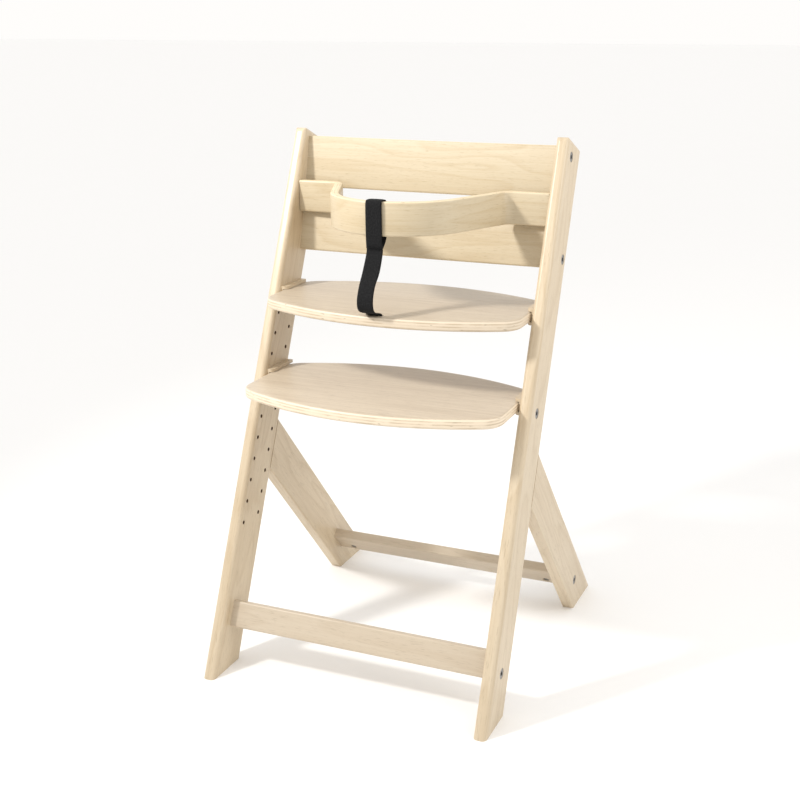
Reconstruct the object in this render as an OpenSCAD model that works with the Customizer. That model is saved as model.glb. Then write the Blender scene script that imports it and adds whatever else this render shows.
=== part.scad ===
// Wooden high chair with an adjustable seat, a sliding foot plate and a bent safety bar.
// Origin: centre of the footprint on the floor. +Z up, front faces -Y, millimetres.

/* [Overall] */
// height of the chair, floor to post tops
chair_h = 790; // [650:1:950]
// width over the outer faces of the side frames
chair_w = 450; // [380:1:540]
// depth of the footprint on the floor
chair_d = 518; // [460:1:620]

/* [Side frames] */
// thickness of posts and rear legs
side_t = 19; // [16:0.5:26]
// backward lean of the posts from vertical, degrees
post_lean = 23.3; // [18:0.1:26]
// width of a post across its faces
post_w = 67.5; // [60:0.5:80]
// rake of the rear legs from vertical, degrees
leg_rake = 41; // [36:0.1:46]
// width of a rear leg across its faces
leg_w = 71.6; // [60:0.1:80]
// rounding along the front edges of the posts
edge_r = 6.5; // [3:0.5:8]
// rounding of the corners at the post tops
top_r = 9; // [4:1:20]
// rounding of the post tops towards their side faces
top_side_r = 5; // [1:0.5:8]

/* [Rail holes] */
// height of the lowest row of holes
hole_z0 = 212.3; // [180:0.1:260]
// vertical pitch of the rows
hole_pitch = 30; // [24:1:36]
// number of rows
hole_rows = 12; // [10:1:12]
// diameter of the blind holes
hole_d = 6; // [5:0.1:8]
// depth of the blind holes
hole_depth = 10; // [6:0.5:12]
// front column behind the post front edge, measured level
hole_y_front = 12.8; // [10:0.1:20]
// rear column behind the post front edge, measured level
hole_y_rear = 56.1; // [45:0.1:62]

/* [Seat and foot plates] */
// thickness of both plywood plates
plate_t = 15; // [12:0.5:18]
// height of the plate top above the pin row that carries it
plate_rise = 4.2; // [2:0.1:8]
// row number that carries the seat plate
seat_row = 11; // [8:1:11]
// row number that carries the foot plate
foot_row = 7; // [1:1:7]
// depth of the seat plate, front to back
seat_d = 228; // [200:1:260]
// depth of the foot plate, front to back
foot_d = 240; // [200:1:260]
// how far the seat plate stands out in front of the posts
seat_out = 102.5; // [80:0.5:130]
// how far the foot plate stands out in front of the posts
foot_out = 125.2; // [90:0.5:140]
// rise of the curved front edge from middle to side
sag_front = 50; // [20:1:60]
// rise of the curved back edge from middle to side
sag_back = 48; // [20:1:60]
// corner radius of the plates
corner_r = 34; // [20:1:45]

/* [Plate rails] */
// thickness of a rail, sideways
rail_t = 10; // [8:0.5:12]
// length of a rail
rail_l = 63; // [50:1:66]
// lip above and below the plate
rail_lip = 4.6; // [3:0.1:6]
// wood left behind the groove
rail_web = 3; // [2:0.5:5]
// play between groove and plate
rail_gap = 0.3; // [0.2:0.05:0.5]
// rail front end behind the post front edge, measured level
rail_in = 8; // [5:0.5:10]

/* [Back slats] */
// height of each slat
slat_h = 80; // [60:1:90]
// thickness of each slat
slat_t = 13; // [10:0.5:16]
// backward bow of each slat at its middle
slat_bow = 10; // [4:1:16]
// height of the top edge of the upper slat
upper_z = 775; // [640:1:930]
// front edge of the upper slat top behind the post front edge
upper_in = 15.5; // [12:0.5:24]
// backward tilt of the upper slat, degrees
upper_tilt = 11; // [6:0.5:16]
// height of the bottom edge of the lower slat
lower_z = 599; // [560:1:640]
// front of the lower slat bottom behind the post front edge
lower_in = 51; // [40:0.5:56]
// backward tilt of the lower slat, degrees
lower_tilt = 14; // [8:0.5:18]

/* [Safety bar] */
// height of the strip
bar_h = 49; // [40:1:60]
// thickness of the strip
bar_t = 13; // [10:0.5:16]
// height of the strip top edge
bar_z = 708.5; // [690:0.5:730]
// how far the bow stands out in front of its end tabs
bar_reach = 161; // [140:1:180]
// outer radius of the front bow
bar_r = 112; // [100:1:120]
// outward slant of the two arms, degrees
bar_slant = 23; // [18:0.5:26]
// front radius of the bend between arm and tab
bend_r = 16; // [10:1:20]
// tab front face behind the post front edge, at the pivot height
tab_in = 16; // [12:0.5:24]
// gap between a tab and the post beside it
tab_gap = 0.8; // [0.4:0.1:1.5]
// diameter of the pivot pins
pivot_d = 8; // [6:0.5:10]
// length of the pivot pins
pivot_l = 36; // [30:1:44]

/* [Crossbars and tie rod] */
// height of the front crossbar section
fbar_h = 39; // [32:1:46]
// thickness of the front crossbar
fbar_t = 20; // [16:0.5:24]
// front crossbar behind the post front face
fbar_in = 22.1; // [18:0.1:28]
// distance along the post from floor to front crossbar
fbar_up = 79.7; // [70:0.1:120]
// height of the rear crossbar section
rbar_h = 42; // [34:1:50]
// thickness of the rear crossbar
rbar_t = 16.5; // [14:0.5:22]
// rear crossbar behind the front face of the rear legs
rbar_in = 27.4; // [22:0.1:34]
// distance along the rear leg, floor level to the top of the rear crossbar
rbar_up = 128.6; // [110:0.1:180]
// diameter of the tie rod under the foot plate
rod_d = 7; // [6:0.5:8]
// gap between tie rod and foot plate
rod_gap = 0.9; // [0.6:0.1:3]
// tie rod behind the post front edge, measured level
rod_in = 32.4; // [26:0.1:42]

/* [Fasteners] */
// diameter of the bolt heads
head_d = 15.5; // [12:0.5:17]
// height of the bolt heads
head_h = 4; // [3:0.5:5]
// depth the heads sit below the wood
head_sink = 0.4; // [0.2:0.1:2]
// diameter of the bolt shanks
shank_d = 6; // [5:0.5:7]
// length of the bolts below the head
bolt_l = 50; // [46:1:56]
// diameter of the barrel nuts
nut_d = 10; // [8:0.5:10]
// distance of the barrel nuts from the end of a slat or bar
nut_in = 28; // [24:1:32]
// diameter of the wooden dowels
dowel_d = 8; // [6:0.5:8]
// play around shanks, nuts and dowels, on the radius
fit_gap = 0.1; // [0.05:0.05:0.2]

/* [Strap] */
// width of the webbing
strap_w = 25; // [20:1:30]
// thickness of the webbing
strap_t = 1.7; // [1.2:0.1:2.5]
// slot in the seat plate behind its front edge
slot_in = 10; // [8:0.5:20]
// size of the slot, front to back
slot_d = 6.5; // [5:0.5:9]

/* [View] */
// sub-part to draw

/* [Hidden] */
$fn = 64;
tl = tan(post_lean);
tr = tan(leg_rake);
yf = -chair_d / 2;
yb = chair_d / 2;
xo = chair_w / 2;
xi = xo - side_t;
post_d = post_w / cos(post_lean);
leg_d = leg_w / cos(leg_rake);
kink_z = (chair_d - post_d) / (tl + tr);
kink_l = (kink_z + post_w * sin(post_lean)) / cos(post_lean);
row_z = [for (k = [0 : hole_rows - 1]) hole_z0 + k * hole_pitch];
seat_z = hole_z0 + seat_row * hole_pitch + plate_rise;
foot_z = hole_z0 + foot_row * hole_pitch + plate_rise;
plate_x = xi - rail_web - 0.5;
rod_z = foot_z - plate_t - rod_gap - rod_d / 2;
rod_y = pf(rod_z) + rod_in;
pivot_z = bar_z - bar_h / 2;
tab_y = pf(pivot_z) + tab_in;
pivot_y = tab_y + bar_t / 2;
bar_x = xi - tab_gap;
bow_y = tab_y - bar_reach;
slot_y = pf(seat_z) - seat_out + slot_in + slot_d / 2;
wood = [0.93, 0.85, 0.7];
steel = [0.15, 0.15, 0.16];
zinc = [0.7, 0.7, 0.72];
web = [0.08, 0.08, 0.08];

// y of the post front edge at height z
function pf(z) = yf + z * tl;

// place children in the frame of a post: y across it, z along it
module on_post() {
  translate([0, yf, 0])
    rotate([-post_lean, 0, 0])
      children();
}

// place children in the frame of a rear leg, seen from its back bottom corner
module on_leg() {
  translate([0, yb, 0])
    rotate([leg_rake, 0, 0])
      children();
}

// both side frames at once
module sides() {
  for (s = [-1, 1])
    translate([s * (xi + side_t / 2), 0, 0])
      children();
}

// round bar along x, centred, from x0 to x1 on side s
module xrod(s, x0, x1, y, z, d) {
  translate([s * (x0 + x1) / 2, y, z])
    rotate([0, 90, 0])
      cylinder(d = d, h = x1 - x0, center = true);
}

// straight board with rounded long edges, x centred, y from 0 to w, z from 0 to l
module board(t, w, l, rf, rb) {
  translate([-t / 2, rf, 0])
    cube([t, w - rf - rb, l]);
  translate([-t / 2 + rf, 0, 0])
    cube([t - 2 * rf, w / 2, l]);
  translate([-t / 2 + rb, w / 2, 0])
    cube([t - 2 * rb, w / 2, l]);
  for (s = [-1, 1]) {
    translate([s * (t / 2 - rf), rf, 0])
      cylinder(r = rf, h = l);
    translate([s * (t / 2 - rb), w - rb, 0])
      cylinder(r = rb, h = l);
  }
}

// concave corner cutter along x: removes the corner at the origin outside radius r
module corner_cut(t, r, sy) {
  difference() {
    translate([-t / 2 - 1, sy > 0 ? -1 : -r, -r])
      cube([t + 2, r + 1, r + 1]);
    translate([0, sy * r, -r])
      rotate([0, 90, 0])
        cylinder(r = r, h = t + 4, center = true);
  }
}

// bolt positions [y, z] of each bolted piece
up_a = upper_tilt;
lo_a = lower_tilt;
up_y = pf(upper_z) + upper_in;
lo_y = pf(lower_z) + lower_in;
// point on a slat end: drop d down from the top front corner, m into its thickness
function up_pt(d, m) = [up_y - d * sin(up_a) + m * cos(up_a), upper_z - d * cos(up_a) - m * sin(up_a)];
// point on the lower slat end: rise d up from the bottom front corner
function lo_pt(d, m) = [lo_y + d * sin(lo_a) + m * cos(lo_a), lower_z + d * cos(lo_a) - m * sin(lo_a)];
// point on the front crossbar end: d up from its bottom, m into its thickness
function fb_pt(d, m) = [yf + (fbar_up + d) * sin(post_lean) + (fbar_in + m) * cos(post_lean),
  (fbar_up + d) * cos(post_lean) - (fbar_in + m) * sin(post_lean)];
// point on the rear crossbar end: d down from its top, m into its thickness
function rb_pt(d, m) = [yb - (rbar_up - d) * sin(leg_rake) + (rbar_in - leg_w + m) * cos(leg_rake),
  (rbar_up - d) * cos(leg_rake) + (rbar_in - leg_w + m) * sin(leg_rake)];
mid_s = slat_t / 2 + 1.6;
up_bolt = up_pt(16, mid_s);
lo_bolt = lo_pt(14, mid_s);
fb_bolt = fb_pt(10, fbar_t / 2);
rb_bolt = rb_pt(31, rbar_t / 2);
rod_bolt = [rod_y, rod_z];
up_dowel = up_pt(62, mid_s);
lo_dowel = lo_pt(60, mid_s);
fb_dowel = fb_pt(28, fbar_t / 2);
rb_dowel = rb_pt(12, rbar_t / 2);

// holes through one side piece for a bolt with a sunk head
module bolt_hole(s, p) {
  xrod(s, xi - 1, xo + 1, p[0], p[1], shank_d + 2 * fit_gap);
  xrod(s, xo - head_h - head_sink, xo + 1, p[0], p[1], head_d + 2 * fit_gap);
}

// blind dowel hole in the inner face of a side piece
module dowel_hole(s, p) {
  xrod(s, xi - 1, xi + 11, p[0], p[1], dowel_d + 2 * fit_gap);
}

// the two dowels between post and rear leg, across the butt joint
module leg_dowel_set(s, g) {
  for (q = [27, 60])
    on_post()
      translate([s * (xi + side_t / 2), post_w - 24, kink_l - q])
        rotate([-90, 0, 0])
          cylinder(d = dowel_d + 2 * g, h = 46 + 2 * g);
}

module post(s) {
  color(wood)
    difference() {
      on_post()
        translate([s * (xi + side_t / 2), 0, 0])
          difference() {
            translate([0, 0, -60])
              board(side_t, post_w, 60 + chair_h / cos(post_lean), edge_r, 2.5);
            translate([0, 0, chair_h / cos(post_lean)])
              corner_cut(side_t, top_r, 1);
            translate([0, post_w, chair_h / cos(post_lean)])
              corner_cut(side_t, top_r, -1);
            for (e = [-1, 1])
              translate([e * side_t / 2, post_w / 2, chair_h / cos(post_lean)])
                rotate([0, 0, e * 90])
                  corner_cut(post_w, top_side_r, 1);
          }
      translate([-xo - 5, yf - 60, -120])
        cube([chair_w + 10, 200, 120]);
      for (z = row_z) {
        xrod(s, xi - 1, xi + hole_depth, pf(z) + hole_y_front, z, hole_d);
        xrod(s, xi - 1, xi + hole_depth, pf(z) + hole_y_rear, z, hole_d);
      }
      for (p = [up_bolt, lo_bolt, fb_bolt, rod_bolt])
        bolt_hole(s, p);
      for (p = [up_dowel, lo_dowel, fb_dowel])
        dowel_hole(s, p);
      xrod(s, xi - 1, xi + 13, pivot_y, pivot_z, pivot_d + 0.1);
      leg_dowel_set(s, fit_gap);
    }
}

module left_post() {
  post(-1);
}

module right_post() {
  post(1);
}

module rear_leg(s) {
  color(wood)
    difference() {
      on_leg()
        translate([s * (xi + side_t / 2), -leg_w, -100])
          board(side_t, leg_w, 700, 2.5, 2.5);
      translate([-xo - 5, -chair_d, -220])
        cube([chair_w + 10, chair_d * 2, 220]);
      on_post()
        translate([-xo - 5, -600, -200])
          cube([chair_w + 10, 600 + post_w, 1500]);
      bolt_hole(s, rb_bolt);
      dowel_hole(s, rb_dowel);
      leg_dowel_set(s, fit_gap);
    }
}

module left_rear_leg() {
  rear_leg(-1);
}

module right_rear_leg() {
  rear_leg(1);
}

// bolt and nut bores in both ends of a bar between the side frames
module end_bores(p, d) {
  for (s = [-1, 1])
    xrod(s, xi - (bolt_l - (side_t - head_h - head_sink)) - 1, xi + 1, p[0], p[1], shank_d + 2 * fit_gap);
  for (s = [-1, 1])
    xrod(s, xi - 25, xi + 1, d[0], d[1], dowel_d + 2 * fit_gap);
}

module front_crossbar() {
  color(wood)
    difference() {
      on_post()
        translate([-xi, fbar_in, fbar_up])
          rotate([0, 90, 0])
            rotate([0, 0, 90])
              bar_blank(fbar_t, fbar_h, 2 * xi, 3);
      end_bores(fb_bolt, fb_dowel);
      for (s = [-1, 1])
        translate([s * (xi - nut_in), fb_bolt[0], fb_bolt[1]])
          rotate([-90 - post_lean, 0, 0])
            translate([0, 0, -5.2])
              cylinder(d = nut_d + 2 * fit_gap, h = 40);
    }
}

// bar of section t (first axis) by h (second axis) along z, small rounded long edges
module bar_blank(t, h, l, r) {
  translate([r, 0, 0])
    cube([t - 2 * r, h, l]);
  translate([0, r, 0])
    cube([t, h - 2 * r, l]);
  for (a = [r, t - r], b = [r, h - r])
    translate([a, b, 0])
      cylinder(r = r, h = l);
}

module rear_crossbar() {
  color(wood)
    difference() {
      on_leg()
        translate([-xi, rbar_in - leg_w, rbar_up - rbar_h])
          rotate([0, 90, 0])
            rotate([0, 0, 90])
              bar_blank(rbar_t, rbar_h, 2 * xi, 2.5);
      end_bores(rb_bolt, rb_dowel);
      for (s = [-1, 1])
        translate([s * (xi - nut_in), rb_bolt[0], rb_bolt[1]])
          rotate([90 + leg_rake, 0, 0])
            translate([0, 0, -5.2])
              cylinder(d = nut_d + 2 * fit_gap, h = 40);
    }
}

// bowed slat: front corner of its lower edge at the origin line, z up its height
module slat_blank() {
  rr = (xi * xi + slat_bow * slat_bow) / (2 * slat_bow);
  intersection() {
    translate([0, slat_bow - rr, 0])
      difference() {
        cylinder(r = rr + slat_t, h = slat_h, $fn = 256);
        translate([0, 0, -1])
          cylinder(r = rr, h = slat_h + 2, $fn = 256);
      }
    translate([-xi, -5, -1])
      cube([2 * xi, slat_bow + slat_t + 10, slat_h + 2]);
  }
}

module slat_nut_bores(p, a) {
  for (s = [-1, 1])
    translate([s * (xi - nut_in), p[0], p[1]])
      rotate([-90 - a, 0, 0])
        translate([0, 0, -4.2])
          cylinder(d = nut_d + 2 * fit_gap, h = 30);
}

module upper_slat() {
  color(wood)
    difference() {
      translate([0, up_pt(slat_h, 0)[0], up_pt(slat_h, 0)[1]])
        rotate([-up_a, 0, 0])
          slat_blank();
      end_bores(up_bolt, up_dowel);
      slat_nut_bores(up_bolt, up_a);
    }
}

module lower_slat() {
  color(wood)
    difference() {
      translate([0, lo_y, lower_z])
        rotate([-lo_a, 0, 0])
          slat_blank();
      end_bores(lo_bolt, lo_dowel);
      slat_nut_bores(lo_bolt, lo_a);
    }
}

// barrel outline plate: straight sides, curved front and back, front middle at y = 0, top at z = 0
module plate(d) {
  w = plate_x;
  rf = (w * w + sag_front * sag_front) / (2 * sag_front);
  rb = (w * w + sag_back * sag_back) / (2 * sag_back);
  translate([0, 0, -plate_t])
    difference() {
      intersection() {
        translate([-w, -1, 0])
          cube([2 * w, d + 2, plate_t]);
        translate([0, rf, 0])
          cylinder(r = rf, h = plate_t, $fn = 256);
        translate([0, d - rb, 0])
          cylinder(r = rb, h = plate_t, $fn = 256);
      }
      for (s = [-1, 1]) {
        corner_trim(s, w, rf, rf, 1);
        corner_trim(s, w, d - rb, rb, -1);
      }
    }
}

// rounds the corner between a side line x = w and an end arc with centre yc and radius r0
module corner_trim(s, w, yc, r0, dir) {
  cx = w - corner_r;
  k = sqrt((r0 - corner_r) * (r0 - corner_r) - cx * cx);
  cy = yc - dir * k;
  ux = cx / (r0 - corner_r);
  uy = -dir * k / (r0 - corner_r);
  difference() {
    translate([0, 0, -1])
      linear_extrude(height = plate_t + 2)
        polygon([[s * cx, cy], [s * (cx + ux * 90), cy + uy * 90],
          [s * (w + 90), cy + uy * 90], [s * (w + 90), cy]]);
    translate([s * cx, cy, -2])
      cylinder(r = corner_r, h = plate_t + 4);
  }
}

module seat_plate() {
  color(wood)
    difference() {
      translate([0, pf(seat_z) - seat_out, seat_z])
        plate(seat_d);
      translate([-strap_w / 2 - 2, slot_y - slot_d / 2, seat_z - plate_t - 1])
        cube([strap_w + 4, slot_d, plate_t + 2]);
      translate([0, slot_y + 26, seat_z - plate_t - 1])
        cylinder(d = 4.2, h = 11.4);
    }
}

module foot_plate() {
  color(wood)
    translate([0, pf(foot_z) - foot_out, foot_z])
      plate(foot_d);
}

// grooved rail that carries one end of a plate whose top is at height z
module rail(s, z) {
  h = plate_t + 2 * rail_gap + 2 * rail_lip;
  y0 = pf(z) + rail_in;
  z0 = z - plate_t - rail_gap - rail_lip;
  color(wood)
    difference() {
      translate([s > 0 ? xi - rail_t : -xi, y0, z0])
        cube([rail_t, rail_l, h]);
      difference() {
        translate([s > 0 ? xi - rail_t - 1 : -xi + rail_t - 7, y0 - 1, z0 - 1])
          cube([8, 8, h + 2]);
        translate([s * (xi - rail_t + 7), y0 + 7, z0 - 2])
          cylinder(r = 7, h = h + 4);
      }
      translate([s > 0 ? xi - rail_t - 5 : -xi + rail_web, y0 - 1, z - plate_t - rail_gap])
        cube([rail_t + 5 - rail_web, rail_l + 2, plate_t + 2 * rail_gap]);
      for (y = [hole_y_front, hole_y_rear])
        xrod(s, xi - rail_web - 1, xi + 1, pf(z - plate_rise) + y, z - plate_rise, hole_d);
      xrod(s, xi - rail_t - 1, xi + 1, rod_y, rod_z, rod_d + 2);
    }
}

module left_seat_rail() {
  rail(-1, seat_z);
}

module right_seat_rail() {
  rail(1, seat_z);
}

module left_foot_rail() {
  rail(-1, foot_z);
}

module right_foot_rail() {
  rail(1, foot_z);
}

// pins that plug the rails into the rows of holes
module rail_pins() {
  color(zinc)
    for (s = [-1, 1], z = [seat_z - plate_rise, foot_z - plate_rise], y = [hole_y_front, hole_y_rear])
      xrod(s, xi - rail_web, xi + hole_depth - 1, pf(z) + y, z, hole_d - 0.1);
}

// points on an arc about (x, y), from angle a0 to a1 in n steps
function arc(x, y, r, a0, a1, n) = [for (k = [0 : n])
  [x + r * cos(a0 + (a1 - a0) * k / n), y + r * sin(a0 + (a1 - a0) * k / n)]];
function flip(p) = [for (k = [len(p) - 1 : -1 : 0]) [-p[k][0], p[k][1]]];
function back(p) = [for (k = [len(p) - 1 : -1 : 0]) p[k]];
bow_cy = bow_y + bar_r;
arm_x = bar_r * cos(bar_slant);
arm_y = bow_cy - bar_r * sin(bar_slant);
bend_y = tab_y - bend_r;
bend_x = arm_x + (bend_r + (bend_y - arm_y) * sin(bar_slant)) / cos(bar_slant);
// right half of the strip face that lies e behind its front face
function bar_face(e) = concat(arc(0, bow_cy, bar_r - e, -87, -bar_slant, 20),
  arc(bend_x, bend_y, bend_r + e, 180 - bar_slant, 90, 10), [[bar_x, tab_y + e]]);

// bent strip: front bow, slanting arms, outward bends and end tabs
module safety_bar() {
  color(wood)
    translate([0, 0, bar_z - bar_h])
      difference() {
        linear_extrude(height = bar_h)
          polygon(concat(flip(bar_face(0)), bar_face(0), back(bar_face(bar_t)), back(flip(bar_face(bar_t)))));
        for (s = [-1, 1])
          xrod(s, bar_x - (pivot_l - 12.2 + tab_gap) - 0.5, bar_x + 1, pivot_y, bar_h / 2, pivot_d + 0.02);
      }
}

// pins on which the bar turns, pressed into the tabs
module pivot_pins() {
  color(zinc)
    for (s = [-1, 1])
      xrod(s, xi + 12.2 - pivot_l, xi + 12.2, pivot_y, pivot_z, pivot_d);
}

function unit(v) = v / norm(v);
// outline of a ribbon of thickness t along the points p
function side(p, t, k) = let (a = p[max(k - 1, 0)], b = p[min(k + 1, len(p) - 1)], u = unit(b - a))
  p[k] + t * [-u[1], u[0]];
function ribbon(p, t) = concat([for (k = [0 : len(p) - 1]) side(p, t / 2, k)],
  [for (k = [len(p) - 1 : -1 : 0]) side(p, -t / 2, k)]);

// extrude a profile drawn in [y, z] across the strap width
module across(w) {
  rotate([90, 0, 90])
    translate([0, 0, -w / 2])
      linear_extrude(height = w)
        children();
}

join_z = pivot_z - 44;
module strap_loop() {
  f = bow_y - 1.2;
  b = bow_y + bar_t + 0.8;
  t = strap_t;
  color(web)
    across(strap_w)
      difference() {
        polygon([[f - t, bar_z + 0.8 + t], [b + t, bar_z + 0.8 + t], [b + t, bar_z - bar_h - 5],
          [f + 3.6, join_z], [f - 0.4, join_z], [f - t, bar_z - bar_h - 2]]);
        polygon([[f, bar_z + 0.8], [b, bar_z + 0.8], [b, bar_z - bar_h - 4.4],
          [f + 1.4, join_z + 3.4], [f + 1, join_z + 3.4], [f, bar_z - bar_h - 2]]);
      }
}

// lower run of the webbing: bulges forward, folds back and goes down through the slot
module strap_tail() {
  y0 = bow_y + 1.4;
  zs = seat_z;
  h = join_z - 1 - zs;
  p = [[y0, join_z - 1], [y0 - 5, zs + 0.85 * h], [y0 - 14, zs + 0.68 * h], [y0 - 26, zs + 0.52 * h],
    [y0 - 33, zs + 0.37 * h], [y0 - 36, zs + 0.24 * h], [y0 - 32, zs + 0.14 * h],
    [slot_y - 17, zs + 5], [slot_y - 6, zs + 4], [slot_y - 1, zs + 1], [slot_y, zs - 4],
    [slot_y, zs - plate_t + 3], [slot_y + 0.4, zs - plate_t - 0.6], [slot_y + 5, zs - plate_t - 1.6],
    [slot_y + 34, zs - plate_t - 1.6]];
  color(web)
    difference() {
      across(strap_w)
        polygon(ribbon(p, strap_t));
      translate([0, slot_y + 26, zs - plate_t - 6])
        cylinder(d = 4.6, h = 8);
    }
}

// screw and washer that hold the webbing under the seat plate
module strap_screw() {
  z = seat_z - plate_t - 1.6 - strap_t / 2;
  color(zinc)
    translate([0, slot_y + 26, 0]) {
      translate([0, 0, z - 1.3])
        cylinder(d = 15, h = 1.2);
      translate([0, 0, z - 4.2])
        cylinder(d = 8, h = 3);
      translate([0, 0, z - 2])
        cylinder(d = 4, h = 12.5);
    }
}

module tie_rod() {
  color(steel)
    difference() {
      xrod(1, -xi, xi, rod_y, rod_z, rod_d);
      for (s = [-1, 1])
        xrod(s, xi - 13, xi + 1, rod_y, rod_z, 4.2);
    }
}

// bolt with a hexagon socket: head sunk in the outer face, shank towards the middle
module bolt(s, p, l, d) {
  difference() {
    union() {
      xrod(s, xo - head_sink - head_h, xo - head_sink, p[0], p[1], head_d);
      xrod(s, xo - head_sink - head_h - l, xo - head_sink - head_h + 0.5, p[0], p[1], d);
    }
    translate([s * (xo - head_sink), p[0], p[1]])
      rotate([0, 90, 0])
        cylinder(d = 6.9, h = 5.2, center = true, $fn = 6);
  }
}

module slat_bolts() {
  color(steel)
    for (s = [-1, 1], p = [up_bolt, lo_bolt])
      bolt(s, p, bolt_l, shank_d);
}

module crossbar_bolts() {
  color(steel)
    for (s = [-1, 1], p = [fb_bolt, rb_bolt])
      bolt(s, p, bolt_l, shank_d);
}

module rod_bolts() {
  color(steel)
    for (s = [-1, 1])
      bolt(s, rod_bolt, side_t - head_h - head_sink + 11, 4);
}

// barrel nut across a bolt: axis turned by a about x, bored for the shank
module nut(s, p, a, l, k) {
  translate([s * (xi - nut_in), p[0], p[1]])
    rotate([a, 0, 0])
      difference() {
        translate([0, 0, -k])
          cylinder(d = nut_d, h = l);
        rotate([0, 90, 0])
          cylinder(d = shank_d + 2 * fit_gap, h = nut_d + 4, center = true);
      }
}

module slat_nuts() {
  color(zinc)
    for (s = [-1, 1]) {
      nut(s, up_bolt, -90 - up_a, 9.6, 4);
      nut(s, lo_bolt, -90 - lo_a, 9.6, 4);
    }
}

module crossbar_nuts() {
  color(zinc)
    for (s = [-1, 1]) {
      nut(s, fb_bolt, -90 - post_lean, 13, 5);
      nut(s, rb_bolt, 90 + leg_rake, 12, 5);
    }
}

module slat_dowels() {
  color(wood)
    for (s = [-1, 1], p = [up_dowel, lo_dowel])
      xrod(s, xi - 24, xi + 10.5, p[0], p[1], dowel_d);
}

module crossbar_dowels() {
  color(wood)
    for (s = [-1, 1], p = [fb_dowel, rb_dowel])
      xrod(s, xi - 24, xi + 10.5, p[0], p[1], dowel_d);
}

module leg_dowels() {
  color(wood)
    for (s = [-1, 1])
      leg_dowel_set(s, 0);
}

left_post();
right_post();
left_rear_leg();
right_rear_leg();
front_crossbar();
rear_crossbar();
upper_slat();
lower_slat();
seat_plate();
foot_plate();
left_seat_rail();
right_seat_rail();
left_foot_rail();
right_foot_rail();
safety_bar();
pivot_pins();
strap_loop();
strap_tail();
strap_screw();
tie_rod();
slat_bolts();
rod_bolts();
crossbar_bolts();
slat_nuts();
crossbar_nuts();
slat_dowels();
crossbar_dowels();
leg_dowels();
rail_pins();
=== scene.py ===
import math

import bmesh
import bpy
from bpy.props import (
    FloatProperty,
    FloatVectorProperty,
    IntProperty,
    PointerProperty,
)
from mathutils import Matrix, Vector
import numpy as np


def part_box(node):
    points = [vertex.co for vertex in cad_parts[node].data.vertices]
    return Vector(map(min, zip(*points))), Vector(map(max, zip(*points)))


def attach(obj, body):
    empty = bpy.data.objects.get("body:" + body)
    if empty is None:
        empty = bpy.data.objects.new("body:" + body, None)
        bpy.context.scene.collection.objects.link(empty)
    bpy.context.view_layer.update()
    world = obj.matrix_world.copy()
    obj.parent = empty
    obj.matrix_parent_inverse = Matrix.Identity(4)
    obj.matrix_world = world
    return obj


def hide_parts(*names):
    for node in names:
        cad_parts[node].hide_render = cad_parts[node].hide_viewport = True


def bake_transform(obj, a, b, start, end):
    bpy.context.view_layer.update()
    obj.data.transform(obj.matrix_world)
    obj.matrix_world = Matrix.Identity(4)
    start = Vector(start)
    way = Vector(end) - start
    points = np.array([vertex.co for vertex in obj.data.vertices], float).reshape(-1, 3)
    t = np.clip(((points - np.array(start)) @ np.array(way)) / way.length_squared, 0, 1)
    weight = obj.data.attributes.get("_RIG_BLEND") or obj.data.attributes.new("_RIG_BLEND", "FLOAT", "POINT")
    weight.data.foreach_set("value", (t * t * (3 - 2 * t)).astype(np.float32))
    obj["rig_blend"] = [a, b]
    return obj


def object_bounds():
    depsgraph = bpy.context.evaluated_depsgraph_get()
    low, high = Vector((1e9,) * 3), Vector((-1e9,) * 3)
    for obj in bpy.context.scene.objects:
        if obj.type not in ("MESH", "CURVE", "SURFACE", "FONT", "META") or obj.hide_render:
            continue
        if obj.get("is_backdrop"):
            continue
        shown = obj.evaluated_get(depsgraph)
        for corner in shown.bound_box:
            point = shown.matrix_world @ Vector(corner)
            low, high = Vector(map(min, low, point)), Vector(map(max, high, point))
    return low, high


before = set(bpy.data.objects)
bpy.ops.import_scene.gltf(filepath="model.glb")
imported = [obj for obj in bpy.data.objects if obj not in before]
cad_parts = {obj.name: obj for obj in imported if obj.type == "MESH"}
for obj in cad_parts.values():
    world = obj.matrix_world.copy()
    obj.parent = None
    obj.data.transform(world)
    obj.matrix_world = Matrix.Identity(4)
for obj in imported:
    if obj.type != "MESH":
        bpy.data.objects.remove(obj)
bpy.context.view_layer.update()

bl_info = {
    "name": "Wooden High Chair",
    "version": (1, 0, 0),
    "blender": (4, 5, 0),
    "location": "3D View > Sidebar > High Chair",
    "description": "Builds the surfaces, webbing and studio of a wooden high chair",
    "category": "Object",
}

# Webbing: pitch of the ribs along it and of the cords across it, in metres
RIB_PITCH = 0.0016
CORD_PITCH = 0.0021
# Thickness of a ribbon as a share of the webbing's own, which leaves room for its ripples
RIBBON_SHARE = 0.96
# Length of one step along a webbing run, in metres, and curve steps between two of its listed points
STRAP_STEP = 0.0022
CURVE_STEPS = 12

# Steps along the curved pieces
PLATE_EDGE_STEPS, PLATE_CORNER_STEPS = 26, 12
SLOT_END_STEPS = 8
SLAT_STEPS = 48
BOW_STEPS, BEND_STEPS, ARM_STEPS, TAB_STEPS = 30, 12, 8, 5
# Points of an outline closer than this, in metres, are one point
SAME_POINT = 1e-5
# Fewest faces or points that a finished plate or strap can have
FEWEST = 100

# Painted shade in the bored holes, in metres: how far inside a post's side faces their darkened walls start,
# and how far from its rounded edges, its top and its foot they stay
FACE_SKIN = 0.0004
EDGE_MARGIN = 0.0095
FOOT_MARGIN = 0.004

# Tone of the seat and foot plates against the shared plate colours
PLATE_SHADES = (("seat_plate", 0.92), ("foot_plate", 1.06))

# Studio, in metres: half the width of the floor, and how far below the post tops the lights aim
FLOOR_HALF = 30
AIM_DROP = 0.12
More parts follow.
